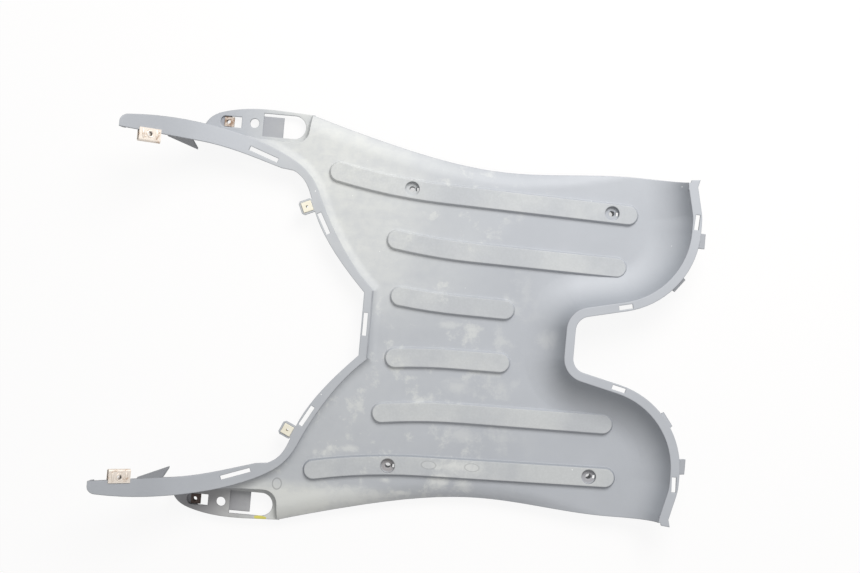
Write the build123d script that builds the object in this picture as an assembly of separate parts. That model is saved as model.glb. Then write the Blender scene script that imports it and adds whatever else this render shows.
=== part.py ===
from build123d import *
import math
import os

# Moulded floorboard of a scooter, with its spring clips and screw grommets.
# Lengths are in millimetres and angles in degrees. X points forward, Y to the rider's left
# and Z up. The origin lies midway between the two front screws, on the plane that the four
# screw seats stand on. The left half is modelled and mirrored.

# Moulding
wall = 3.2
deck_height = 20.0
roll_fall = 8.0
roll_width = 22.0
roll_end = 0.86
lip = 0.3
lip_overlap = 1.0

# Side edge of the deck, from the front corner to the rear corner
front_corner = (126.0, 241.0)
flare = (40.0, 217.5)
waist = (-110.0, 193.5)
hip = (-225.0, 199.5)
rear_corner = (-326.0, 196.0)

# Rear end: U notch, two lobes and the raised flange round them
notch_end = -203.0
notch_half_width = 29.4
notch_radius = 17.0
rear_end = -337.0
lobe_start = 60.8
lobe_radius = 100.0
lobe_end = 158.0
lobe_end_radius = 60.0
rear_tip = (-328.0, 196.0)
rear_tip_turn = 10.7
rear_rise = 34.0
rear_cove = 46.0
rear_flange = 10.0
flange_lap = 0.5
end_lug_length = 7.0
end_lug_reach = 7.0
end_lug_rake = 3.0

# Front notch, its flange and the arms
front_notch = 45.4
front_notch_half = 37.0
front_flange = 9.6
ridge_turn = 40.0
ridge_side = ((65.0, 71.5), (84.0, 99.5), (103.5, 135.5), (119.0, 165.0))
arm_outer_side = ((158.0, 192.0), (214.0, 209.5), (272.0, 215.5))
arm_tip_outer = 211.5
arm_tip_shoulder = 203.0
notch_side = ((70.0, 63.5), (96.0, 97.5), (112.0, 128.0), (127.0, 162.0), (141.0, 172.5))
arm_inner_side = ((155.0, 174.0), (190.0, 184.0), (223.0, 191.5), (254.0, 194.6))
arm_tip_inner = 197.6
front_rise = 7.0
front_cove = 12.0
arm_start = 124.0
arm_radius = 260.0
arm_slope = 35.0
arm_tip = 327.0
arm_tip_radius = 7.0
arm_skirt = 11.0
arm_skirt_rear = 24.0

# Ears: flat plates outside the arms
ear_height = 10.0
ear_front = 252.0
ear_outer_side = ((166.0, 243.0), (198.0, 242.4), (226.0, 237.6), (243.0, 230.5))
ear_tip = 219.0
ear_root = 200.0
window_rear = 132.3
window_length = 51.0
window_inner = 211.0
window_width = 27.5
window_tongue = 24.0
window_gap = 3.5
window_step = 2.2
ear_hole = (193.8, 225.6)
ear_hole_diameter = 11.0
clip_slot = (221.6, 225.1)
clip_slot_length = 25.0
clip_slot_width = 13.0
clip_slot_round = 5.5
clip_seat_drop = 2.8
clip_seat_thickness = 2.6

# Treads: rear end, start of the bend and front end of each centre line
tread_width = 25.0
tread_rise = 4.2
tread_draft = 24.0
tread_bend_radius = 700.0
outer_tread = ((-256.0, 155.2), (-40.0, 161.0), 88.0)
middle_tread = ((-248.0, 92.6), (-80.0, 95.0), 13.0)
inner_tread = ((-121.0, 31.4), (-70.0, 31.9), 3.0)

# Screw seats
front_screw_y = 163.7
rear_screw = (-237.0, 155.6)
screw_hole = 6.5
counterbore = 17.0
counterbore_depth = 5.0
seat_wall = 2.2
drain_length = 3.6
drain_width = 4.2
drain_edge = 0.7

# Slots and tabs of the flanges: place, direction of the edge and size
rear_slot_width = 5.2
rear_outer_slot = (-331.5, 152.0, 93.0, 17.5)
rear_inner_slot = (-258.5, 47.4, 167.0, 16.0)
rear_tab_depth = 6.0
rear_tab_drop = 2.0
rear_tab_slope = 40.0
rear_outer_tab = (-337.0, 131.0, 90.0, 17.5)
rear_inner_tab = (-314.0, 81.5, 127.0, 19.0)
front_slot_width = 5.0
front_slot_inset = 4.2
front_centre_slot = 27.0
front_side_slot = (100.0, 113.6, 61.0, 27.0)
arm_slot = (176.5, 187.8, 19.0, 35.0)

# Square lugs beside the front notch and their grommets
lug_place = (121.0, 131.6)
lug_turn = 66.0
lug_size = 17.0
lug_opening = 12.0
lug_corner = 2.5
grommet_clearance = 0.2
grommet_head = 13.4
grommet_head_thickness = 1.4
grommet_depth = 12.0
grommet_taper = 6.0
grommet_bore = 3.4

# Gusset under each arm and the spring clips
gusset_rear = 256.5
gusset_front = 282.0
gusset_inset = 1.0
gusset_depth = 44.0
gusset_front_depth = 9.0
gusset_lean = 8.0
gusset_thickness = 2.6
clip_sheet = 0.9
clip_play = 0.1
clip_bend_gap = 1.2
clip_hole = 5.0
clip_screw_room = 6.0
clip_collar = 8.0
clip_collar_length = 3.0
arm_tab_length = 20.0
arm_tab_reach = 8.0
arm_clip_place = 298.0
arm_clip_length = 26.0
arm_clip_depth = 13.0
ear_clip_width = 11.4
ear_clip_length = 9.2

# Reach of construction shapes past the board
reach = 160.0
half_span = 262.0
below = -30.0

slope = math.radians(arm_slope)
strip_height = deck_height + front_rise
arm_bend_end = arm_start + arm_radius * math.sin(slope)
arm_bend_height = strip_height + arm_radius * (1 - math.cos(slope))
flange_height = deck_height + rear_rise


def strip_top(x):
    """Height of the front flange and the arms at a distance forward."""
    if x <= arm_start:
        return strip_height
    if x <= arm_bend_end:
        run = x - arm_start
        return strip_height + arm_radius - math.sqrt(arm_radius**2 - run**2)
    return arm_bend_height + (x - arm_bend_end) * math.tan(slope)


def arm_edge(x):
    """Distance of the arm's inner edge from the centre line, near the tip."""
    rear_x, rear_y = arm_inner_side[-1]
    return rear_y + (arm_tip_inner - rear_y) * (x - rear_x) / (arm_tip - rear_x)


def arm_clip_seat():
    """Place where the clip folds over the end of the arm's tab: Y across, Z normal to the arm."""
    x = arm_clip_place
    return Pos(x, arm_edge(x) - arm_tab_reach - clip_bend_gap, strip_top(x)) * Rot(0, -arm_slope, 0)


def prism(face, bottom=-reach, top=reach):
    """A plan outline extruded between two heights."""
    return extrude(Pos(0, 0, bottom) * face, amount=top - bottom)


# Plan outlines of the left half. Each one runs past the centre line, which trims it later.
def beside(curve, distance, count=18):
    """Curve that runs at a distance to the left of another one."""
    points = []
    for i in range(count + 1):
        heading = curve.tangent_at(i / count)
        points.append(curve.position_at(i / count) + Vector(-heading.Y, heading.X, 0) * distance)
    return Spline(*points)


def front_space(grow=0):
    """Plan region in front of the ridge: front flange, arms and everything ahead of them."""
    ridge = front_notch - front_flange
    tip_start = (arm_tip - arm_tip_radius, arm_tip_outer)
    side = Spline((ridge, ridge_turn), *ridge_side, *arm_outer_side, tip_start)
    if grow:
        side = beside(side, grow)
    centre = Line((ridge - grow, below), side @ 0)
    tip = TangentArc(side @ 1, (arm_tip + grow, arm_tip_shoulder), tangent=side % 1)
    end = Polyline(tip @ 1, (arm_tip + grow, below), centre @ 0)
    return make_face([centre, side, tip, end])


def notch_space():
    """Plan region inside the front notch, up to the inner edge of flange and arms."""
    centre = Line((front_notch, below), (front_notch, front_notch_half))
    side = Spline(centre @ 1, *notch_side)
    step = Line(side @ 1, arm_inner_side[0])
    arm = Spline(*arm_inner_side)
    end = Polyline(arm @ 1, (arm_tip, arm_tip_inner), (arm_tip + wall, arm_tip_inner),
                   (arm_tip + wall, below), centre @ 0)
    return make_face([centre, side, step, arm, end])


def rear_space(grow=0):
    """Plan region behind the rear edge, with the U notch."""
    edge = FilletPolyline(
        (notch_end, below), (notch_end, notch_half_width), (rear_end, lobe_start),
        (rear_end, lobe_end), rear_tip, (rear_tip[0] + rear_tip_turn, rear_tip[1] + reach),
        radius=[notch_radius, lobe_radius, lobe_end_radius, lobe_end_radius],
    )
    far = rear_end - reach
    end = Polyline(edge @ 1, (far, rear_tip[1] + reach), (far, below), edge @ 0)
    face = make_face([edge, end])
    return offset(face, amount=grow) if grow else face


def side_edge():
    return Spline(front_corner, flare, waist, hip, rear_corner)


def side_space():
    """Plan region outside the side edge of the deck."""
    edge = side_edge()
    end = Polyline(
        edge @ 1, (rear_end - reach, rear_corner[1]), (rear_end - reach, reach * 2),
        (arm_tip, reach * 2), (arm_tip, front_corner[1]), edge @ 0,
    )
    return make_face([edge, end])


def ear_space(grow=0):
    """Plan region in front of the deck's front corner, where the ear lies lower."""
    edge = FilletPolyline(
        (front_corner[0] - 2, half_span), (window_rear - 4, window_inner - 6),
        (window_rear + window_length, window_inner - 4), (ear_front + 8, window_inner + 4),
        radius=[window_width * 0.6, window_width * 2],
    )
    end = Polyline(edge @ 1, ((edge @ 1).X, half_span), edge @ 0)
    face = make_face([edge, end])
    return offset(face, amount=grow) if grow else face


# Deck surface: flat, rolled off along the sides and coved up at both ends
def arc_radius(width, rise):
    """Radius of an arc that starts level and gains a rise over a width."""
    return (width**2 + rise**2) / (2 * rise)


def deck_box():
    """Plan rectangle round the left half of the board."""
    far = rear_end - reach
    corners = ((far, below), (ear_front, below), (ear_front, half_span), (far, half_span))
    return make_face(Polyline(*corners, close=True))


def roll_space(depth, count=18):
    """Space above the rolled side edge, or a wall depth under it. The roll ends before the rear cove."""
    edge = side_edge()
    radius = arc_radius(roll_width, roll_fall) - depth
    points = []
    for i in range(count + 1):
        share = i / count
        width = roll_width * max(-lip, 1 - (share / roll_end) ** 6)
        heading = edge.tangent_at(share)
        outward = Vector(heading.Y, -heading.X, 0)
        points.append(edge.position_at(share) + outward * (radius - width))
    side = Spline(*points)
    ahead = side @ 0 + Vector(reach, 0, 0)
    behind = side @ 1 - Vector(reach, 0, 0)
    end = Polyline(side @ 1, behind, (behind.X, below), (ahead.X, below), ahead, side @ 0)
    rolled = prism(make_face([side, end]), -reach, deck_height - depth)
    rim = rolled.faces().sort_by(Axis.Z)[-1].edges().filter_by(lambda edge: (edge @ 0.5).Y > reach)
    return prism(deck_box(), -reach, deck_height - depth) - fillet(rim, radius)


def inner_edges(body, level):
    """Edges at a height that lie inside the plan rectangle."""
    box = deck_box().bounding_box()
    edges = body.edges().filter_by_position(Axis.Z, level - lip, level + lip)
    edges = edges.filter_by_position(Axis.X, box.min.X + lip, box.max.X - lip)
    return edges.filter_by_position(Axis.Y, box.min.Y + lip, box.max.Y - lip)


def deck_space(depth=0):
    """Everything below the top of the deck, or below a surface that lies a wall depth under it."""
    level = deck_height - depth
    space = prism(deck_box(), -reach, level)
    rear_radius = arc_radius(rear_cove, rear_rise)
    front_radius = arc_radius(front_cove, front_rise)
    rear_foot = rear_space(rear_flange + rear_cove - rear_radius - depth)
    front_foot = front_space(front_cove - front_radius - depth)
    space += prism(rear_foot & deck_box(), level - wall, level + 2 * rear_radius)
    space += prism(front_foot & deck_box(), level - wall, level + 2 * front_radius)
    for side, radius in ((-1, rear_radius), (1, front_radius)):
        corner = inner_edges(space, level).filter_by(lambda edge: (edge @ 0.5).X * side > 0)
        space = fillet(corner, radius + depth)
    return space - roll_space(depth)


top_block = deck_space()
low_block = deck_space(wall)


# Panel
def deck_skin():
    plan = deck_box() - side_space() - front_space() - rear_space(rear_flange) - ear_space()
    return (prism(plan) & top_block) - low_block


def strip_band(thickness):
    """Side view of flange and arm, extruded across the half board."""
    def curve(drop):
        flat = Line((notch_end, strip_height - drop), (arm_start, strip_height - drop))
        bend = JernArc(flat @ 1, (1, 0), arm_radius + drop, arm_slope)
        rise = Line(bend @ 1, bend @ 1 + (bend % 1) * reach)
        return [flat, bend, rise]
    top, low = curve(-lip), curve(thickness)
    ends = [Line(top[0] @ 0, low[0] @ 0), Line(top[2] @ 1, low[2] @ 1)]
    face = Plane.XZ * make_face(top + low + ends)
    return extrude(face, amount=2 * reach, both=True)


def front_strip():
    return prism(front_space(lip_overlap) - notch_space()) & strip_band(wall)


def arm_wall():
    """Outer wall of the arm: down to the ear, then a skirt that runs out to the tip."""
    ear_low = ear_height - wall
    window_end = window_rear + window_length
    tip_low = strip_top(arm_tip) - arm_skirt
    side = make_face(Polyline(
        (arm_start, deck_height), (window_end, deck_height), (window_end, ear_low),
        (ear_front, ear_low), (ear_front, strip_top(ear_front) - arm_skirt_rear),
        (arm_tip, tip_low), (arm_tip + wall, tip_low + reach), (arm_start, reach), close=True,
    ))
    band = prism(front_space() - front_space(-wall) - notch_space())
    side_solid = extrude(Plane.XZ * side, amount=2 * reach, both=True)
    return (band & side_solid) - Pos(0, 0, -wall / 2) * (strip_band(-reach))


def ear_plate():
    low = ear_height - wall
    root = (front_corner[0] - wall, front_corner[1])
    outer = Spline(root, *ear_outer_side, (ear_front, ear_tip))
    inner = Polyline(outer @ 1, (ear_front, ear_root), (root[0], ear_root), root)
    plan = make_face([outer, inner]) & ear_space(wall)
    plate = prism(plan - front_space(-wall), low, ear_height)
    window_end = window_rear + window_length
    radius = window_width / 2
    window = make_face(
        Polyline((window_end, window_inner), (window_rear + radius, window_inner)).edges()
        + [ThreePointArc(
            (window_rear + radius, window_inner), (window_rear, window_inner + radius),
            (window_rear + radius, window_inner + window_width))]
        + Polyline(
            (window_rear + radius, window_inner + window_width),
            (window_end, window_inner + window_width), (window_end, window_inner)).edges()
    )
    slot = Pos(*clip_slot) * Rectangle(clip_slot_length, clip_slot_width)
    slot = fillet(slot.vertices().group_by(Axis.X)[-1], clip_slot_round)
    hole = Pos(*ear_hole) * Circle(ear_hole_diameter / 2)
    plate -= prism(window, 0, reach) + prism(slot, 0, reach) + prism(hole, 0, reach)
    tongue_low = low - window_step
    tongue = Pos(window_end - window_tongue, window_inner, tongue_low) * Box(
        window_tongue + wall, window_width - window_gap, wall, align=Align.MIN)
    seat_top = ear_height - clip_seat_drop
    seat_length = clip_slot_length / 2 + wall
    seat = Pos(clip_slot[0] + seat_length / 2, clip_slot[1], seat_top - clip_seat_thickness / 2) * Box(
        seat_length, clip_slot_width + 2 * wall, clip_seat_thickness)
    hole_x = clip_slot[0] - clip_bend_gap + ear_clip_length / 2
    seat -= Pos(hole_x, clip_slot[1], 0) * Cylinder(clip_screw_room / 2, reach)
    return plate + tongue + seat


def ear_wall():
    """Step between the deck's front edge and the ear."""
    band = ear_space(wall) - ear_space() - side_space() - front_space(-wall / 2)
    return prism(band, ear_height - wall, reach) & top_block


def rear_flange_plate():
    band = rear_space(rear_flange + flange_lap) - rear_space() - side_space()
    band = band & Pos(rear_end - wall, 0) * Rectangle(
        2 * reach, 2 * half_span, align=(Align.MIN, Align.CENTER))
    tip_x, tip_y = rear_tip
    lug = make_face(Polyline(
        (tip_x, tip_y - end_lug_reach), (tip_x - end_lug_rake, tip_y + end_lug_reach - 2),
        (tip_x + end_lug_length, tip_y + end_lug_reach - end_lug_rake),
        (tip_x + rear_flange, tip_y - end_lug_reach), close=True,
    ))
    plate = prism(band + lug, flange_height + lip - wall, flange_height + lip)
    for x, y, turn, length in (rear_outer_slot, rear_inner_slot):
        plate -= Pos(x, y, flange_height) * Rot(0, 0, turn) * Box(length, rear_slot_width, 4 * wall)
    for x, y, turn, length in (rear_outer_tab, rear_inner_tab):
        hook = Rot(-rear_tab_slope, 0, 0) * Pos(0, rear_tab_depth / 2, 0) * Box(
            length, rear_tab_depth + wall, wall)
        plate += Pos(x, y, flange_height + lip - wall / 2 - rear_tab_drop) * Rot(0, 0, turn) * hook
    return plate


def tread_plan(tread, width):
    rear, bend, front = tread
    straight = Line(rear, bend)
    heading = math.degrees(math.atan2(bend[1] - rear[1], bend[0] - rear[0]))
    sweep = math.degrees((front - bend[0]) / tread_bend_radius)
    curve = JernArc(bend, (math.cos(math.radians(heading)), math.sin(math.radians(heading))),
                    tread_bend_radius, sweep)
    return make_face(Wire([straight, curve]).offset_2d(width / 2))


def tread_block(tread, width, top):
    """Drafted tread that has its stated width at deck height."""
    foot = deck_height - 3 * wall
    widen = 2 * (deck_height - foot) * math.tan(math.radians(tread_draft))
    blank = Pos(0, 0, foot) * tread_plan(tread, width + widen)
    return extrude(blank, amount=top - foot, taper=tread_draft)


def add_treads(panel):
    top = deck_height + tread_rise
    treads = (outer_tread, middle_tread, inner_tread)
    for tread in treads:
        panel += tread_block(tread, tread_width, top) - low_block
    for tread in treads:
        panel -= tread_block(tread, tread_width - 2 * wall, top - wall)
    return panel


def add_screw_seats(panel):
    shelf = deck_height + tread_rise - counterbore_depth
    for x, y in ((0, front_screw_y), rear_screw):
        cup = Pos(x, y, shelf - wall) * Cylinder(
            counterbore / 2 + wall, counterbore_depth, align=(Align.CENTER, Align.CENTER, Align.MIN))
        post = Pos(x, y, 0) * Cylinder(
            screw_hole / 2 + seat_wall, shelf, align=(Align.CENTER, Align.CENTER, Align.MIN))
        bore = Pos(x, y, shelf) * Cylinder(
            counterbore / 2, reach, align=(Align.CENTER, Align.CENTER, Align.MIN))
        hole = Pos(x, y, 0) * Cylinder(screw_hole / 2, reach)
        drain = Pos(x - counterbore / 2 + drain_edge + drain_length / 2, y, shelf) * Box(
            drain_length, drain_width, 3 * wall)
        panel = panel + cup + post - bore - hole - drain
    return panel


def gusset():
    """Thin leaning web under the inner edge of the arm, deepest at its rear end."""
    drop = wall / 2
    rear_top, front_top = (
        Vector(x, arm_edge(x) + gusset_inset, strip_top(x) - drop) for x in (gusset_rear, gusset_front))
    lean = Vector(0, -gusset_lean, -gusset_depth)
    front_low = front_top + lean * (gusset_front_depth / gusset_depth)
    face = make_face(Polyline(rear_top, front_top, front_low, rear_top + lean, close=True))
    side = -1 if face.faces()[0].normal_at().Y < 0 else 1
    return extrude(face, amount=side * gusset_thickness)


def arm_tab():
    """Tab on the inner edge of the arm that carries the spring clip."""
    return arm_clip_seat() * Pos(0, clip_bend_gap, -wall) * Box(
        arm_tab_length, arm_tab_reach + wall, wall + lip, align=(Align.CENTER, Align.MIN, Align.MIN))


def lug_frame():
    frame = Rectangle(lug_size, lug_size)
    frame = chamfer(frame.vertices(), lug_corner)
    place = Pos(*lug_place, strip_height + lip - wall) * Rot(0, 0, lug_turn)
    return place * extrude(frame - Rectangle(lug_opening, lug_opening), amount=wall)


def flange_cuts():
    cuts = Pos(front_notch - front_slot_inset, 0, strip_height) * Box(
        front_slot_width, front_centre_slot, 4 * wall)
    for x, y, turn, length in (front_side_slot, arm_slot):
        cuts += Pos(x, y, strip_top(x)) * Rot(0, 0, turn) * Box(length, front_slot_width, 8 * wall)
    cuts += Pos(*lug_place, strip_height) * Rot(0, 0, lug_turn) * Box(lug_opening, lug_opening, 4 * wall)
    cuts += arm_clip_seat() * Pos(0, arm_clip_depth / 2, 0) * Cylinder(clip_screw_room / 2, 4 * wall)
    return cuts


def half_panel():
    panel = deck_skin() + front_strip() + arm_wall() + ear_wall() + ear_plate() + rear_flange_plate()
    panel = add_screw_seats(add_treads(panel))
    panel = panel + gusset() + arm_tab() + lug_frame() - flange_cuts()
    left = Pos(0, reach * 2, 0) * Box(reach * 8, reach * 4, reach * 4)
    return panel & left


def floor_panel():
    half = half_panel()
    return half + mirror(half, about=Plane.XZ)


# Loose pieces of the left side
def spring_clip(length, depth, grip):
    """Folded sheet clip that grips an edge: leaves along -Y, fold at +Y, thread collar below."""
    gap = grip + 2 * clip_play
    upper = Pos(0, -depth / 2, gap / 2 + clip_sheet / 2) * Box(length, depth, clip_sheet)
    lower = Pos(0, -depth / 2, -gap / 2 - clip_sheet / 2) * Box(length, depth, clip_sheet)
    bend_radius = gap / 2 + clip_sheet
    fold = Rot(0, 90, 0) * (Cylinder(bend_radius, length) - Cylinder(gap / 2, length))
    fold = fold & Pos(0, reach / 2, 0) * Box(reach, reach, reach)
    centre = Pos(0, -depth / 2, 0)
    collar_low = -gap / 2 - clip_sheet - clip_collar_length
    collar = centre * Pos(0, 0, collar_low) * Cylinder(
        clip_collar / 2, clip_collar_length, align=(Align.CENTER, Align.CENTER, Align.MIN))
    return upper + lower + fold + collar - centre * Cylinder(clip_hole / 2, reach)


def arm_clip():
    clip = spring_clip(arm_clip_length, arm_clip_depth, wall + lip)
    return arm_clip_seat() * Pos(0, 0, (lip - wall) / 2) * Rot(0, 0, 180) * clip


def ear_clip():
    middle = ear_height - clip_seat_drop - clip_seat_thickness / 2
    place = Pos(clip_slot[0] - clip_bend_gap, clip_slot[1], middle) * Rot(0, 0, 90)
    return place * spring_clip(ear_clip_width, ear_clip_length, clip_seat_thickness)


def screw_grommet():
    plug = lug_opening - 2 * grommet_clearance
    seat = strip_height + lip
    head = Pos(0, 0, seat) * Box(
        grommet_head, grommet_head, grommet_head_thickness, align=(Align.CENTER, Align.CENTER, Align.MIN))
    head = chamfer(head.faces().sort_by(Axis.Z)[-1].edges(), grommet_head_thickness * 0.4)
    shank = extrude(Pos(0, 0, seat) * Rectangle(plug, plug), amount=-grommet_depth, taper=grommet_taper)
    body = head + shank - Pos(0, 0, seat) * Cylinder(grommet_bore / 2, reach)
    return Pos(*lug_place, 0) * Rot(0, 0, lug_turn) * body


os.makedirs("parts", exist_ok=True)
export_step(floor_panel(), "parts/floor_panel.step")
for name, piece in (("arm_clip", arm_clip()), ("ear_clip", ear_clip()), ("screw_grommet", screw_grommet())):
    export_step(piece, f"parts/{name}_left.step")
    export_step(mirror(piece, about=Plane.XZ), f"parts/{name}_right.step")
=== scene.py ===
import math

import bmesh
import bpy
from mathutils import Matrix, Vector


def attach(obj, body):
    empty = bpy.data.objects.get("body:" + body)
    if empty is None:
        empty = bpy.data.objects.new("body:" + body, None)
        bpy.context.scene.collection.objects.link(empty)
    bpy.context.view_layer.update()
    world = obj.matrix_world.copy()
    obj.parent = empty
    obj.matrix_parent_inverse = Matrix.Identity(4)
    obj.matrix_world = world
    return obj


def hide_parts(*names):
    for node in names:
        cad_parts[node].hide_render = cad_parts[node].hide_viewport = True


# Scooter floorboard, dressed for a photograph from straight above. Lengths are in metres, in
# the frame of the solids: X forward, Y to the rider's left, Z up, screw seats on the floor.

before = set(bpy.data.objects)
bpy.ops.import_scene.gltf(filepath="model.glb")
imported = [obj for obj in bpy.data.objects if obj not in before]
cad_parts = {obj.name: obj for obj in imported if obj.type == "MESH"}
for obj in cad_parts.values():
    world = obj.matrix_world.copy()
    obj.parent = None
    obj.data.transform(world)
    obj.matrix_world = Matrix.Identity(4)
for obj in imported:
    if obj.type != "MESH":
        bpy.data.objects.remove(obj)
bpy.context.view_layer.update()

MM = 0.001

# Heights that the finishes follow
DECK_HEIGHT = 20 * MM
TREAD_TOP = 24.2 * MM
FLANGE_HEIGHT = 27 * MM
EAR_HEIGHT = 10 * MM
FLAP_HEIGHT = 7.8 * MM
BELOW_ARM = 14 * MM
RUST_FROM = 12 * MM
WALLS_FROM = 18 * MM
WALLS_TO = 28 * MM

# How steep a surface is, as the upward part of its normal
STEEP = 0.45
LEVEL = 0.96

# Radius of the moulded edges, which the shading rounds off
EDGE_ROUND = 1.6 * MM

# Places along the board, from the front screw seats forward
SMEARED_FROM = -190 * MM
SMEARED_TO = -60 * MM
DUSTY_FROM = -150 * MM
DUSTY_TO = 120 * MM
ARM_ROOT = 130 * MM
EAR_WINDOW = 150 * MM
FLAP_REAR = 159 * MM
ARM_FRONT = 230 * MM
WEB_REAR = 255 * MM

# Places across the board, to the rider's left
RIGHT_DUST_FULL = -90 * MM
RIGHT_DUST_THIN = 25 * MM
# Between these the walls of the left outer tread go from dusty to painted shade
LEFT_WALLS_DUSTY = 115 * MM
LEFT_WALLS_SHADED = 150 * MM
LEFT_DUST_THIN = 180 * MM
LEFT_DUST_FULL = 212 * MM

# Screw seats
LEFT_FRONT_SEAT = (0, 163.7 * MM)
LEFT_REAR_SEAT = (-237 * MM, 155.6 * MM)
RIGHT_FRONT_SEAT = (0, -163.7 * MM)
RIGHT_REAR_SEAT = (-237 * MM, -155.6 * MM)
SCREW_SEATS = (LEFT_FRONT_SEAT, LEFT_REAR_SEAT, RIGHT_FRONT_SEAT, RIGHT_REAR_SEAT)
SEAT_SIZE = (8.5 * MM, 8.5 * MM)

# Marks: centre and half size seen from above
# Spot of painted shade on the left ear, below the arm
LEFT_EAR = (192 * MM, 230 * MM)
LEFT_EAR_SIZE = (75 * MM, 30 * MM)
GATE_MARK = (128.3 * MM, 196.8 * MM)
GATE_MARK_SIZE = (5.3 * MM, 6.5 * MM)
PAINT_MARK = (146 * MM, 240.6 * MM)
PAINT_MARK_SIZE = (7 * MM, 2.4 * MM)
WORN_OVALS = ((-48 * MM, 158.5 * MM), (-99 * MM, 157 * MM))
WORN_OVAL_SIZE = (8.5 * MM, 4.6 * MM)

# Pale scuffs: centre and half size seen from above in millimetres, and how white they are
SCUFFS = (
    ((-85, 157), (42, 12), 0.85),
    ((-62, 177), (16, 13), 0.8),
    ((-92, 180), (14, 13), 0.7),
    ((46, 148), (14, 6), 0.6),
    ((70, 149), (5, 5), 0.6),
    ((76, 155), (4, 4), 0.55),
    ((87, 156), (4, 4), 0.5),
    ((51, 204), (44, 17), 0.7),
    ((14, 201), (26, 11), 0.6),
    ((30, 184), (4, 8), 0.6),
    ((2, 181), (10, 5), 0.7),
    ((-18, 195), (16, 4), 0.7),
    ((-74, 65), (24, 14), 0.36),
    ((-82, 120), (26, 14), 0.36),
    ((-60, -8), (22, 6), 0.4),
    ((-175, 0), (17, 14), 0.34),
)

# Sizes of the patterns; the moulded grain is drawn coarser than life, so that it shows
GRIME_CLOUD = 90 * MM
DUST_PATCH = 70 * MM
DUST_CLUMP = 11 * MM
WIPE_WIDTH = 12 * MM
WIPE_STRETCH = (0.15, 1, 1)
SMEAR = 32 * MM
STIPPLE = 2.2 * MM
SEAT_RUST = 2.5 * MM
SCUFF_EDGE = 14 * MM
PAINT_EDGE = 3 * MM
FLECK_SPACING = 24 * MM
GRAIN = 1.4 * MM
GRAIN_DEPTH = 0.2 * MM
RUST_PATCH = 7 * MM
RUST_SPECK = 1.6 * MM
RUST_DEPTH = 0.15 * MM
NYLON_CLOUD = 6 * MM

# What the press leaves on the upper leaf of an arm clip
RIB_SPACING = 16 * MM
RIB_HALF_SIZE = (1.5 * MM, 5.6 * MM, 1.1 * MM)
COLLAR_RADIUS = 3.5 * MM
COLLAR_BEAD = 0.8 * MM

# Head of a lug grommet
HEAD_THICKNESS = 1.5 * MM
HEAD_TRIM = 0.9

# Copies of the solids
WELD_DISTANCE = 0.002 * MM
FLAT_WITHIN = 0.1 * MM
LEAF_WITHIN = 0.02 * MM
CREASE_ANGLE = 25

# Light and floor
SKY_LIGHT = 0.42
KEY_PLACE = (-0.35, -0.95, 1.15)
KEY_TARGET = (-0.05, 0, 0)
KEY_SIZE = 0.9
KEY_POWER = 19
FLOOR_HALF = 4
SHADOW_SHARE = 0.9
SHADOW_TO = 0.45
WHITE_FROM = 1.2
SEAT_SHADE = 0.75

# Photograph: straight down from above the deck, front of the board to the left
IMAGE_WIDTH = 860
FOCAL_PIXELS = 1271
SENSOR_WIDTH = 36
CAMERA_PLACE = (-31 * MM, -51 * MM, DECK_HEIGHT + 1.5)
CAMERA_ROLL = 185.12

# Node settings used again and again
TINT = {"data_type": "RGBA"}
LEVELS = {"interpolation_type": "SMOOTHSTEP"}
TIMES = {"operation": "MULTIPLY"}
PLUS = {"operation": "ADD"}
LARGER = {"operation": "MAXIMUM"}


def linear(hex_colour):
    """Linear RGBA of an sRGB hex colour."""
    values = [int(hex_colour[i:i + 2], 16) / 255 for i in (1, 3, 5)]
    return (*[v / 12.92 if v <= 0.04045 else ((v + 0.055) / 1.055) ** 2.4 for v in values], 1)


def add_node(material, kind, settings=None, output=0, **inputs):
    """Adds a node with its settings, sets or links its inputs, and returns one of its outputs.

    An input goes by its name, with _ for a space, or by an i and its number.
    """
    node = material.node_tree.nodes.new(kind)
    for name, value in (settings or {}).items():
        setattr(node, name, value)
    for name, value in inputs.items():
        key = int(name[1:]) if name[1:].isdigit() else name.replace("_", " ")
        if isinstance(value, bpy.types.NodeSocket):
            material.node_tree.links.new(value, node.inputs[key])
        else:
            node.inputs[key].default_value = value
    return node.outputs[output] if node.outputs else None


def new_material(name):
    """Material with an empty node tree."""
    material = bpy.data.materials.new(name)
    material.use_nodes = True
    material.node_tree.nodes.clear()
    return material


def away_from(material, place, centre, half_size):
    """Distance from a spot seen from above, in units of the spot's half size."""
    local = add_node(material, "ShaderNodeMapping", {"vector_type": "TEXTURE"},
                     Vector=place, Location=(*centre, 0), Scale=(*half_size, 1))
    return add_node(material, "ShaderNodeVectorMath", {"operation": "LENGTH"}, "Value", i0=local)


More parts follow.
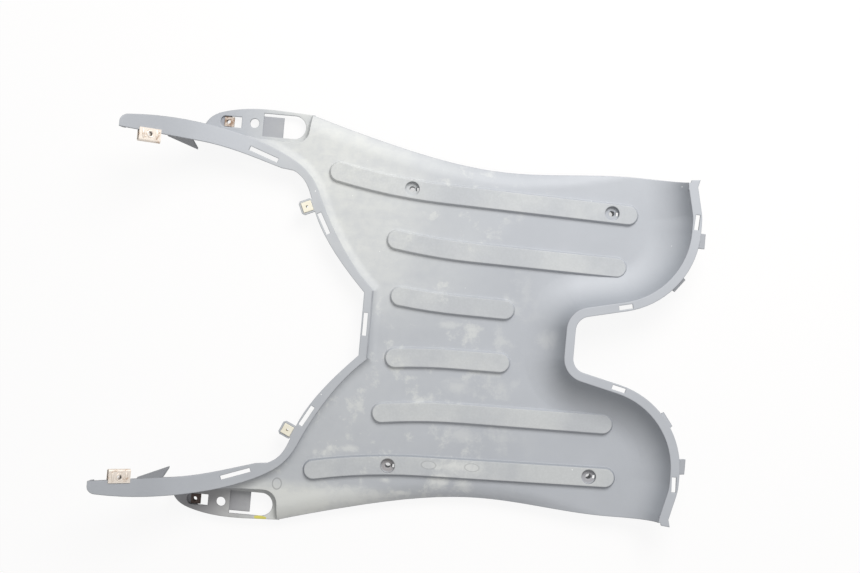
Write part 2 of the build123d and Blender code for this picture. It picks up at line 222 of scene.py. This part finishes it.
def dust_cover(material, place, along, across):
    """Whitish dust: thick at the right front and along the left edge, wiped, with smears mid-deck."""
    front = add_node(material, "ShaderNodeMapRange", LEVELS,
                     Value=along, From_Min=DUSTY_FROM, From_Max=DUSTY_TO)
    off_arms = add_node(material, "ShaderNodeMapRange", LEVELS,
                        Value=along, From_Min=ARM_FRONT, From_Max=ARM_ROOT)
    right = add_node(material, "ShaderNodeMapRange", LEVELS,
                     Value=across, From_Min=RIGHT_DUST_THIN, From_Max=RIGHT_DUST_FULL, To_Min=0.25)
    left = add_node(material, "ShaderNodeMapRange", LEVELS,
                    Value=across, From_Min=LEFT_DUST_THIN, From_Max=LEFT_DUST_FULL, To_Max=1.4)
    cover = add_node(material, "ShaderNodeMath", LARGER, i0=right, i1=left)

    broad = add_node(material, "ShaderNodeTexNoise",
                     Vector=place, Scale=1 / DUST_PATCH, Detail=4, Roughness=0.6)
    fine = add_node(material, "ShaderNodeTexNoise",
                    Vector=place, Scale=1 / DUST_CLUMP, Detail=5, Roughness=0.65)
    drawn = add_node(material, "ShaderNodeMapping", Vector=place, Scale=WIPE_STRETCH)
    wiped = add_node(material, "ShaderNodeTexNoise",
                     Vector=drawn, Scale=1 / WIPE_WIDTH, Detail=3, Roughness=0.6)
    patchy = add_node(material, "ShaderNodeMapRange", LEVELS,
                      Value=broad, From_Min=0.32, From_Max=0.58, To_Min=0.65)
    broken = add_node(material, "ShaderNodeMapRange", LEVELS,
                      Value=fine, From_Min=0.3, From_Max=0.65, To_Min=0.72)
    rubbed = add_node(material, "ShaderNodeMapRange", LEVELS,
                      Value=wiped, From_Min=0.3, From_Max=0.6, To_Min=0.8)
    for share in (front, off_arms, patchy, broken, rubbed):
        cover = add_node(material, "ShaderNodeMath", TIMES, i0=cover, i1=share)

    smears = add_node(material, "ShaderNodeTexNoise",
                      Vector=place, Scale=1 / SMEAR, Detail=6, Roughness=0.7)
    smears = add_node(material, "ShaderNodeMapRange", LEVELS,
                      Value=smears, From_Min=0.5, From_Max=0.68, To_Max=0.7)
    middle = add_node(material, "ShaderNodeMapRange", LEVELS,
                      Value=along, From_Min=SMEARED_FROM, From_Max=SMEARED_TO)
    smears = add_node(material, "ShaderNodeMath", TIMES, i0=smears, i1=middle)
    smears = add_node(material, "ShaderNodeMath", TIMES, i0=smears, i1=off_arms)
    return add_node(material, "ShaderNodeMath", LARGER, i0=cover, i1=smears)


def moulded_polypropylene():
    """Injection-moulded grey polypropylene: satin, faintly blue, dusty, with stippled treads and painted
    shade.
    """
    material = new_material("moulded_polypropylene")
    place = add_node(material, "ShaderNodeTexCoord", output="Object")
    along = add_node(material, "ShaderNodeSeparateXYZ", Vector=place)
    across = along.node.outputs["Y"]
    height = along.node.outputs["Z"]
    tread = add_node(material, "ShaderNodeAttribute", {"attribute_name": "tread_top"}, "Fac")

    # Thin film of grime, a little uneven, where the plastic lies level or on the walls of most treads
    clouds = add_node(material, "ShaderNodeTexNoise",
                      Vector=place, Scale=1 / GRIME_CLOUD, Detail=4, Roughness=0.6)
    film = add_node(material, "ShaderNodeMix", TINT, 2,
                    i0=clouds, i6=linear("#AEB1B6"), i7=linear("#BEC1C6"))
    facing = add_node(material, "ShaderNodeBevel", {"samples": 8}, Radius=EDGE_ROUND)
    upward = add_node(material, "ShaderNodeSeparateXYZ", output="Z", Vector=facing)
    level = add_node(material, "ShaderNodeMapRange", LEVELS, Value=upward, From_Min=STEEP, From_Max=LEVEL)
    # Walls between the deck and the tread tops count as nearly level, so they take little painted shade,
    # except on the left outer tread
    tread_wall = add_node(material, "ShaderNodeMapRange",
                          Value=upward, From_Min=0.1, From_Max=0.3, To_Max=0.85)
    for way, limit, inside in ((height, WALLS_TO, TREAD_TOP), (height, WALLS_FROM, DECK_HEIGHT),
                               (across, LEFT_WALLS_SHADED, LEFT_WALLS_DUSTY)):
        within = add_node(material, "ShaderNodeMapRange", LEVELS,
                          Value=way, From_Min=limit, From_Max=inside)
        tread_wall = add_node(material, "ShaderNodeMath", TIMES, i0=tread_wall, i1=within)
    level = add_node(material, "ShaderNodeMath", LARGER, i0=level, i1=tread_wall)

    # Painted shade: steep walls darker than level plastic, also standing for plastic bare of the film,
    # and darkest on the webs under the arms, where shade falls
    web_shade = add_node(material, "ShaderNodeMapRange", Value=along, From_Min=ARM_FRONT, From_Max=WEB_REAR)
    upright = add_node(material, "ShaderNodeMapRange", Value=upward, From_Min=-0.6, From_Max=-0.3)
    web_shade = add_node(material, "ShaderNodeMath", TIMES, i0=web_shade, i1=upright)
    bare_in_shade = add_node(material, "ShaderNodeMix", TINT, 2,
                    i0=web_shade, i6=linear("#9FA3A9"), i7=linear("#7A7D82"))
    colour = add_node(material, "ShaderNodeMix", TINT, 2, i0=level, i6=bare_in_shade, i7=film)

    # Painted shade on the left ear below the arm, darker and brownish
    away = away_from(material, place, LEFT_EAR, LEFT_EAR_SIZE)
    under_arm_shade = add_node(material, "ShaderNodeMapRange", LEVELS,
                     Value=away, From_Min=1, From_Max=0.5, To_Max=0.6)
    below = add_node(material, "ShaderNodeMapRange",
                     Value=height, From_Min=DECK_HEIGHT, From_Max=BELOW_ARM)
    under_arm_shade = add_node(material, "ShaderNodeMath", TIMES, i0=under_arm_shade, i1=below)
    colour = add_node(material, "ShaderNodeMix", TINT, 2, i0=under_arm_shade, i6=colour, i7=linear("#8E8887"))

    # Dust, thinner on the flanges, which also lies in the grain of the treads
    dust = dust_cover(material, place, along, across)
    dust = add_node(material, "ShaderNodeMath", TIMES, i0=dust, i1=level)
    low = add_node(material, "ShaderNodeMapRange", LEVELS,
                   Value=height, From_Min=FLANGE_HEIGHT, From_Max=TREAD_TOP, To_Min=0.3)
    dust = add_node(material, "ShaderNodeMath", TIMES, i0=dust, i1=low)
    held = add_node(material, "ShaderNodeMapRange", LEVELS,
                    Value=clouds, From_Min=0.36, From_Max=0.62, To_Min=0.2, To_Max=0.5)
    held = add_node(material, "ShaderNodeMath", TIMES, i0=held, i1=tread)
    dust = add_node(material, "ShaderNodeMath", LARGER, i0=dust, i1=held)
    share = add_node(material, "ShaderNodeMath", TIMES, i0=dust, i1=0.95)
    colour = add_node(material, "ShaderNodeMix", TINT, 2, i0=share, i6=colour, i7=linear("#DCDDD9"))

    # Painted shade on the flaps sunk in the ear windows, darker than the ears
    flap_shade = add_node(material, "ShaderNodeMapRange",
                    Value=height, From_Min=EAR_HEIGHT, From_Max=FLAP_HEIGHT, To_Max=0.45)
    on_ears = add_node(material, "ShaderNodeMapRange",
                       Value=along, From_Min=EAR_WINDOW, From_Max=FLAP_REAR)
    flap_shade = add_node(material, "ShaderNodeMath", TIMES, i0=flap_shade, i1=on_ears)
    colour = add_node(material, "ShaderNodeMix", TINT, 2, i0=flap_shade, i6=colour, i7=linear("#86868E"))

    # Stipple of the tread tops
    pits = add_node(material, "ShaderNodeTexVoronoi", {"feature": "SMOOTH_F1"},
                    Vector=place, Scale=1 / STIPPLE)
    mottle = add_node(material, "ShaderNodeMapRange",
                      Value=pits, From_Min=0.1, From_Max=0.6, To_Max=0.1)
    mottle = add_node(material, "ShaderNodeMath", TIMES, i0=mottle, i1=tread)
    colour = add_node(material, "ShaderNodeMix", TINT, 2, i0=mottle, i6=colour, i7=linear("#8F928F"))

    # Traces of rust in the left screw seats, above the posts
    above = add_node(material, "ShaderNodeMapRange",
                     Value=height, From_Min=RUST_FROM, From_Max=DECK_HEIGHT)
    for seat, strength in ((LEFT_FRONT_SEAT, 0.3), (LEFT_REAR_SEAT, 0.2)):
        away = away_from(material, place, seat, SEAT_SIZE)
        crumbs = add_node(material, "ShaderNodeTexNoise",
                          Vector=place, Scale=1 / SEAT_RUST, Detail=4, Roughness=0.7)
        away = add_node(material, "ShaderNodeMath", PLUS, i0=away, i1=crumbs)
        rust = add_node(material, "ShaderNodeMapRange", LEVELS,
                        Value=away, From_Min=1.65, From_Max=1.2, To_Max=strength)
        rust = add_node(material, "ShaderNodeMath", TIMES, i0=rust, i1=above)
        colour = add_node(material, "ShaderNodeMix", TINT, 2, i0=rust, i6=colour, i7=linear("#8A6A55"))

    # Ring left by the moulding gate
    away = away_from(material, place, GATE_MARK, GATE_MARK_SIZE)
    ring = add_node(material, "ShaderNodeMath", {"operation": "COMPARE"}, i0=away, i1=1, i2=0.13)
    ring = add_node(material, "ShaderNodeMath", TIMES, i0=ring, i1=0.45)
    ring = add_node(material, "ShaderNodeMath", TIMES, i0=ring, i1=level)
    colour = add_node(material, "ShaderNodeMix", TINT, 2, i0=ring, i6=colour, i7=linear("#7E7F80"))

    # Pale scuffs with ragged edges
    ragged = add_node(material, "ShaderNodeTexNoise",
                      Vector=place, Scale=1 / SCUFF_EDGE, Detail=6, Roughness=0.7, Distortion=0.8)
    ragged = add_node(material, "ShaderNodeMapRange",
                      Value=ragged, From_Min=0.3, From_Max=0.7, To_Max=0.9)
    pale = 0.0
    for centre, half_size, strength in SCUFFS:
        away = away_from(material, place, [c * MM for c in centre], [h * MM for h in half_size])
        away = add_node(material, "ShaderNodeMath", PLUS, i0=away, i1=ragged)
        scuff = add_node(material, "ShaderNodeMapRange", LEVELS,
                         Value=away, From_Min=1.45, From_Max=0.5, To_Max=strength)
        pale = add_node(material, "ShaderNodeMath", LARGER, i0=pale, i1=scuff)
    pale = add_node(material, "ShaderNodeMath", TIMES, i0=pale, i1=level)
    colour = add_node(material, "ShaderNodeMix", TINT, 2, i0=pale, i6=colour, i7=linear("#DDDEDB"))

    # Worn ovals on the left outer tread, with a darker rim
    for centre in WORN_OVALS:
        away = away_from(material, place, centre, WORN_OVAL_SIZE)
        oval = add_node(material, "ShaderNodeMapRange", LEVELS,
                        Value=away, From_Min=1.05, From_Max=0.9, To_Max=0.35)
        oval = add_node(material, "ShaderNodeMath", TIMES, i0=oval, i1=level)
        colour = add_node(material, "ShaderNodeMix", TINT, 2, i0=oval, i6=colour, i7=linear("#D6D7D6"))
        rim = add_node(material, "ShaderNodeMath", {"operation": "COMPARE"}, i0=away, i1=1, i2=0.1)
        rim = add_node(material, "ShaderNodeMath", TIMES, i0=rim, i1=0.35)
        rim = add_node(material, "ShaderNodeMath", TIMES, i0=rim, i1=level)
        colour = add_node(material, "ShaderNodeMix", TINT, 2, i0=rim, i6=colour, i7=linear("#8E9090"))

    # Dab of yellow marking paint on the left ear
    away = away_from(material, place, PAINT_MARK, PAINT_MARK_SIZE)
    crumbs = add_node(material, "ShaderNodeTexNoise", Vector=place, Scale=1 / PAINT_EDGE, Detail=3)
    away = add_node(material, "ShaderNodeMath", PLUS, i0=away, i1=crumbs)
    paint = add_node(material, "ShaderNodeMapRange", Value=away, From_Min=1.6, From_Max=1.5)
    colour = add_node(material, "ShaderNodeMix", TINT, 2, i0=paint, i6=colour, i7=linear("#E3D96B"))

    # Flecks of white paint
    cells = add_node(material, "ShaderNodeTexVoronoi", Vector=place, Scale=1 / FLECK_SPACING)
    flecks = add_node(material, "ShaderNodeMapRange",
                      Value=cells, From_Min=0.034, From_Max=0.026, To_Max=0.9)
    colour = add_node(material, "ShaderNodeMix", TINT, 2, i0=flecks, i6=colour, i7=linear("#F3F3F1"))

    # Satin surface with a fine spark-eroded grain
    grain = add_node(material, "ShaderNodeTexNoise", Vector=place, Scale=1 / GRAIN, Detail=2)
    relief = add_node(material, "ShaderNodeMath", TIMES, i0=pits, i1=tread)
    relief = add_node(material, "ShaderNodeMath", PLUS, i0=relief, i1=grain)
    bump = add_node(material, "ShaderNodeBump",
                    Strength=0.2, Distance=GRAIN_DEPTH, Height=relief, Normal=facing)
    roughness = add_node(material, "ShaderNodeMapRange", Value=dust, To_Min=0.5, To_Max=0.75)
    shader = add_node(material, "ShaderNodeBsdfPrincipled",
                      Base_Color=colour, Roughness=roughness, IOR=1.49, Normal=bump)
    add_node(material, "ShaderNodeOutputMaterial", Surface=shader)
    return material


def rusted_spring_steel(name, plate, rust, spread):
    """Zinc-plated spring steel gone dull, with brown rust breaking through over a share of it."""
    material = new_material(name)
    place = add_node(material, "ShaderNodeTexCoord", output="Object")
    patches = add_node(material, "ShaderNodeTexNoise",
                       Vector=place, Scale=1 / RUST_PATCH, Detail=5, Roughness=0.7)
    specks = add_node(material, "ShaderNodeTexNoise",
                      Vector=place, Scale=1 / RUST_SPECK, Detail=3, Roughness=0.6)
    edge = add_node(material, "ShaderNodeMath", TIMES, i0=specks, i1=0.25)
    edge = add_node(material, "ShaderNodeMath", PLUS, i0=patches, i1=edge)
    rusty = add_node(material, "ShaderNodeMapRange", LEVELS,
                     Value=edge, From_Min=0.72 - spread, From_Max=0.82 - spread)
    colour = add_node(material, "ShaderNodeMix", TINT, 2, i0=rusty, i6=linear(plate), i7=linear(rust))
    metal = add_node(material, "ShaderNodeMapRange", Value=rusty, To_Min=0.55, To_Max=0.05)
    roughness = add_node(material, "ShaderNodeMapRange", Value=rusty, To_Min=0.42, To_Max=0.85)
    bump = add_node(material, "ShaderNodeBump", Strength=0.4, Distance=RUST_DEPTH, Height=specks)
    shader = add_node(material, "ShaderNodeBsdfPrincipled",
                      Base_Color=colour, Metallic=metal, Roughness=roughness, Normal=bump)
    add_node(material, "ShaderNodeOutputMaterial", Surface=shader)
    return material


def natural_nylon():
    """Undyed nylon: creamy, with a soft gloss."""
    material = new_material("natural_nylon")
    place = add_node(material, "ShaderNodeTexCoord", output="Object")
    tint = add_node(material, "ShaderNodeTexNoise", Vector=place, Scale=1 / NYLON_CLOUD)
    colour = add_node(material, "ShaderNodeMix", TINT, 2,
                      i0=tint, i6=linear("#FBF7E8"), i7=linear("#F0E8D0"))
    shader = add_node(material, "ShaderNodeBsdfPrincipled", Base_Color=colour, Roughness=0.42, IOR=1.53)
    add_node(material, "ShaderNodeOutputMaterial", Surface=shader)
    return material


def is_tread_top(face):
    return face.normal.z > 0.99 and abs(face.calc_center_median().z - TREAD_TOP) < FLAT_WITHIN


def leaf_frame(work):
    """Frame in the middle of an arm clip's upper leaf: X along the arm, Y across it, Z out of it."""
    leaves = [face for face in work.faces if face.normal.z > 0.7 and abs(face.normal.y) < 0.01]
    top = max(leaves, key=lambda face: face.normal.dot(face.verts[0].co))
    out = top.normal.copy()
    height = out.dot(top.verts[0].co)
    across = Vector((0, 1, 0))
    along = across.cross(out)
    rim = [vert.co for vert in work.verts if abs(out.dot(vert.co) - height) < LEAF_WITHIN]
    centre = out * height
    for axis in (along, across):
        reach = [axis.dot(point) for point in rim]
        centre += axis * (min(reach) + max(reach)) / 2
    return Matrix.Translation(centre) @ Matrix((along, across, out)).transposed().to_4x4()


def press_leaf(work):
    """Two stiffening ribs and a drawn thread collar on the upper leaf of an arm clip."""
    place = leaf_frame(work)
    for side in (-0.5, 0.5):
        rib = Matrix.Translation((side * RIB_SPACING, 0, 0)) @ Matrix.Diagonal((*RIB_HALF_SIZE, 1))
        bmesh.ops.create_uvsphere(work, u_segments=20, v_segments=10, radius=1, matrix=place @ rib)
    start = Matrix.Translation((COLLAR_RADIUS, 0, 0)) @ Matrix.Rotation(math.radians(90), 4, "X")
    bead = bmesh.ops.create_circle(work, segments=12, radius=COLLAR_BEAD, matrix=place @ start)["verts"]
    edges = {edge for vert in bead for edge in vert.link_edges}
    bmesh.ops.spin(work, geom=bead + list(edges), cent=place.translation, axis=place.col[2].xyz,
                   angle=math.radians(360), steps=32, use_merge=True)
    bmesh.ops.recalc_face_normals(work, faces=work.faces)


def trim_head(work):
    """Head of a lug grommet drawn in to the width of its opening, so that the lug's frame shows."""
    top = max(vert.co.z for vert in work.verts)
    head = [vert for vert in work.verts if vert.co.z > top - HEAD_THICKNESS]
    centre = sum((vert.co for vert in head), Vector()) / len(head)
    bmesh.ops.scale(work, vec=(HEAD_TRIM, HEAD_TRIM, 1), space=Matrix.Translation(-centre), verts=head)


def smooth_copy(node, name, reshape):
    """Welded copy of a solid's facets, smooth up to a crease angle, with flat faces kept flat."""
    work = bmesh.new()
    work.from_mesh(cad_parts[node].data)
    bmesh.ops.remove_doubles(work, verts=work.verts, dist=WELD_DISTANCE)
    work.normal_update()
    if reshape:
        reshape(work)
    tops = work.faces.layers.float.new("tread_top")
    for face in work.faces:
        face.smooth = True
        face[tops] = float(is_tread_top(face))
    mesh = bpy.data.meshes.new(name)
    work.to_mesh(mesh)
    work.free()
    if "custom_normal" in mesh.attributes:
        mesh.attributes.remove(mesh.attributes["custom_normal"])
    mesh.set_sharp_from_angle(angle=math.radians(CREASE_ANGLE))
    piece = bpy.data.objects.new(name, mesh)
    bpy.context.scene.collection.objects.link(piece)
    even = piece.modifiers.new("even", "WEIGHTED_NORMAL")
    even.keep_sharp = True
    evaluated = piece.evaluated_get(bpy.context.evaluated_depsgraph_get())
    piece.data = bpy.data.meshes.new_from_object(evaluated)
    piece.modifiers.clear()
    return piece


def dress(node, name, material, reshape=None):
    """Finished piece that stands for a solid."""
    piece = smooth_copy(node, name, reshape)
    piece.data.materials.clear()
    piece.data.materials.append(material)
    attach(piece, "root")
    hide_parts(node)


def seen_ray(owner):
    """1 for what the camera sees, also in a mirror or through glass, and 0 for rays of light."""
    from_camera = add_node(owner, "ShaderNodeLightPath", output="Is Camera Ray")
    path = from_camera.node.outputs
    seen = add_node(owner, "ShaderNodeMath", LARGER, i0=from_camera, i1=path["Is Glossy Ray"])
    return add_node(owner, "ShaderNodeMath", LARGER, i0=seen, i1=path["Is Transmission Ray"])


def white_floor():
    """Matt floor that the camera sees as white, with a trace of shadow, greyer under the screw seats."""
    mesh = bpy.data.meshes.new("floor")
    corners = [(x * FLOOR_HALF, y * FLOOR_HALF, 0) for x, y in ((-1, -1), (1, -1), (1, 1), (-1, 1))]
    mesh.from_pydata(corners, [], [(0, 1, 2, 3)])
    floor = bpy.data.objects.new("floor", mesh)
    bpy.context.scene.collection.objects.link(floor)
    material = new_material("white_sheet")
    place = add_node(material, "ShaderNodeTexCoord", output="Object")
    away = away_from(material, place, (0, 0), (1, 1))
    share = add_node(material, "ShaderNodeMapRange", LEVELS,
                     Value=away, From_Min=SHADOW_TO, From_Max=WHITE_FROM, To_Min=SHADOW_SHARE)
    share = add_node(material, "ShaderNodeMath", TIMES, i0=share, i1=seen_ray(material))
    for seat in SCREW_SEATS:
        away = away_from(material, place, seat, SEAT_SIZE)
        shaded = add_node(material, "ShaderNodeMapRange",
                          Value=away, From_Min=0.9, From_Max=1, To_Min=SEAT_SHADE)
        share = add_node(material, "ShaderNodeMath", TIMES, i0=share, i1=shaded)
    matt = add_node(material, "ShaderNodeBsdfDiffuse", Color=linear("#FAF4F1"))
    white = add_node(material, "ShaderNodeEmission", Color=(1, 1, 1, 1), Strength=1.0)
    shader = add_node(material, "ShaderNodeMixShader", i0=share, i1=matt, i2=white)
    add_node(material, "ShaderNodeOutputMaterial", Surface=shader)
    mesh.materials.append(material)


def key_light():
    """Soft lamp above the right side of the board."""
    lamp = bpy.data.lights.new("key", "AREA")
    lamp.shape = "DISK"
    lamp.size = KEY_SIZE
    lamp.energy = KEY_POWER
    holder = bpy.data.objects.new("key", lamp)
    holder.location = KEY_PLACE
    aim = Vector(KEY_TARGET) - Vector(KEY_PLACE)
    holder.rotation_euler = aim.to_track_quat("-Z", "Y").to_euler()
    bpy.context.scene.collection.objects.link(holder)


def studio():
    """Even white sky, seen as pure white, with the key lamp and the floor."""
    world = bpy.data.worlds.new("studio")
    world.use_nodes = True
    world.node_tree.nodes.clear()
    strength = add_node(world, "ShaderNodeMapRange", Value=seen_ray(world), To_Min=SKY_LIGHT)
    sky = add_node(world, "ShaderNodeBackground", Color=(1, 1, 1, 1), Strength=strength)
    add_node(world, "ShaderNodeOutputWorld", Surface=sky)
    bpy.context.scene.world = world
    key_light()
    white_floor()


def camera():
    """View of the photograph."""
    lens = bpy.data.cameras.new("camera")
    lens.sensor_width = SENSOR_WIDTH
    lens.lens = FOCAL_PIXELS / IMAGE_WIDTH * SENSOR_WIDTH
    holder = bpy.data.objects.new("camera", lens)
    holder.location = CAMERA_PLACE
    holder.rotation_euler = (0, 0, math.radians(CAMERA_ROLL))
    bpy.context.scene.collection.objects.link(holder)
    bpy.context.scene.camera = holder


dress("floor_panel", "floorboard", moulded_polypropylene())
arm_steel = rusted_spring_steel("dull_spring_steel", "#E2D8CD", "#C7AE98", 0.05)
ear_steel = {
    "left": rusted_spring_steel("dark_rusted_steel", "#7D7572", "#5E4F4A", 0.3),
    "right": rusted_spring_steel("light_rusted_steel", "#C9BCB0", "#A48873", 0.15),
}
nylon = natural_nylon()
for side in ("left", "right"):
    dress(f"arm_clip_{side}", f"arm_spring_clip_{side}", arm_steel, press_leaf)
    dress(f"ear_clip_{side}", f"ear_spring_clip_{side}", ear_steel[side])
    dress(f"screw_grommet_{side}", f"lug_grommet_{side}", nylon, trim_head)

studio()
camera()
bpy.context.scene.view_settings.view_transform = "Standard"
